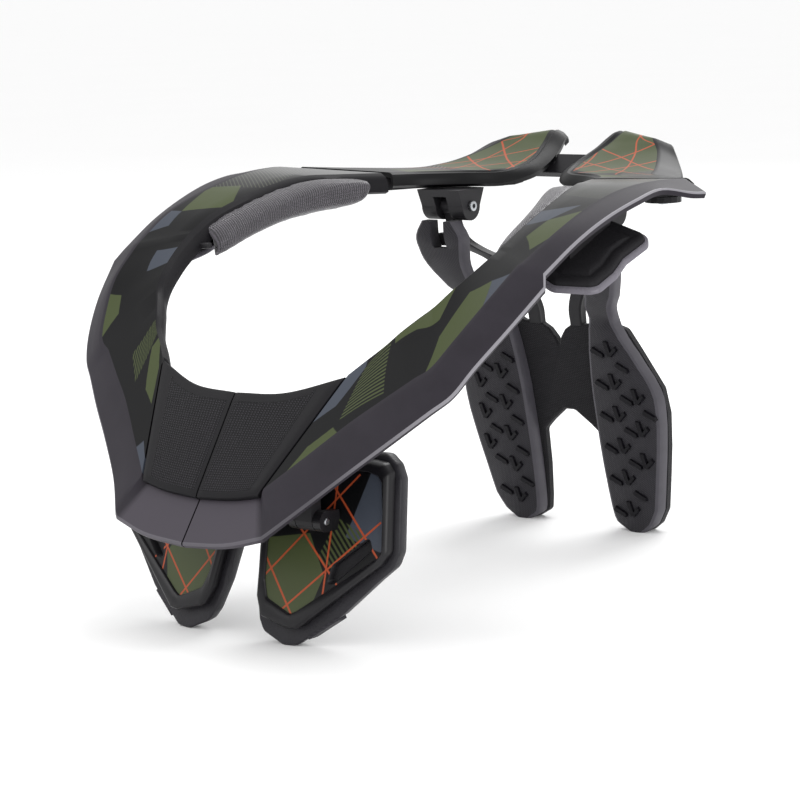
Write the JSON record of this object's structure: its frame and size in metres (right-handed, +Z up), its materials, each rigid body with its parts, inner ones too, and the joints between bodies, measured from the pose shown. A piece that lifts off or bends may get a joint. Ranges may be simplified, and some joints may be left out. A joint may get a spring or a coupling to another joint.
{
  "type": "motocross neck brace",
  "caption": "Motocross neck brace: a collar ring split into hinged arms, with shoulder pads, swivelling padded chest plates and a pivoting forked back support.",
  "frame": {"origin": "centre of the bounding box at the level of its lowest points, the chest pads and the feet of the back support", "axes": "+Z up, +Y towards the back of the wearer, +X towards the left of the wearer; the plane X = 0 is the plane of symmetry"},
  "size_m": [0.3, 0.346, 0.22],
  "materials": {
    "shell": "satin",
    "flap": "satin",
    "pad_cloth": "woven",
    "rubber": "moulded",
    "nylon": "matt",
    "chest_shell": "satin",
    "back_shell": "matt",
    "steel": "polished"
  },
  "bodies": {
    "rear": {"rear_flap_left": "flap", "rear_flap_right": "flap", "rear_rail_left": "nylon", "rear_rail_right": "nylon", "hinge_bracket_left": "nylon", "hinge_bracket_right": "nylon", "hinge_screw_left": "steel", "hinge_screw_right": "steel", "rear_lug_left": "nylon", "rear_lug_right": "nylon", "arm_pin_left": "steel", "arm_pin_right": "steel", "rear_link": "nylon"},
    "arm_left": {"arm_shell_left": "shell", "chin_pad_left": "pad_cloth", "collar_pad_left": "pad_cloth", "shoulder_pad_left": "rubber", "shoulder_mount_left": "nylon", "arm_lug_left": "nylon", "chest_bracket_left": "nylon", "chest_pin_left": "steel"},
    "arm_right": {"arm_shell_right": "shell", "chin_pad_right": "pad_cloth", "collar_pad_right": "pad_cloth", "shoulder_pad_right": "rubber", "shoulder_mount_right": "nylon", "arm_lug_right": "nylon", "chest_bracket_right": "nylon", "chest_pin_right": "steel"},
    "chest_left": {"chest_plate_left": "chest_shell", "chest_pad_left": "rubber"},
    "chest_right": {"chest_plate_right": "chest_shell", "chest_pad_right": "rubber"},
    "back_support": {"thoracic_strut_left": "nylon", "thoracic_strut_right": "nylon", "back_pad_left": "rubber", "back_pad_right": "rubber", "back_plate": "back_shell"}
  },
  "joints": [
    {"name": "arm_left_hinge", "type": "hinge", "parent": "rear", "child": "arm_left", "pos_m": [0.122, 0.05225, 0.1973], "axis": [0, 0, 1], "range_deg": [0, 20]},
    {"name": "arm_right_hinge", "type": "hinge", "parent": "rear", "child": "arm_right", "pos_m": [-0.122, 0.05225, 0.1973], "axis": [0, 0, -1], "range_deg": [0, 20]},
    {"name": "back_support_pivot", "type": "hinge", "parent": "rear", "child": "back_support", "pos_m": [0, 0.10238, 0.1826], "axis": [1, 0, 0], "range_deg": [-15, 20]},
    {"name": "chest_left_swivel", "type": "hinge", "parent": "arm_left", "child": "chest_left", "pos_m": [0.043, -0.13061, 0.06], "axis": [1, 0, 0], "range_deg": [-8, 8]},
    {"name": "chest_right_swivel", "type": "hinge", "parent": "arm_right", "child": "chest_right", "pos_m": [-0.043, -0.13061, 0.06], "axis": [1, 0, 0], "range_deg": [-8, 8]}
  ]
}
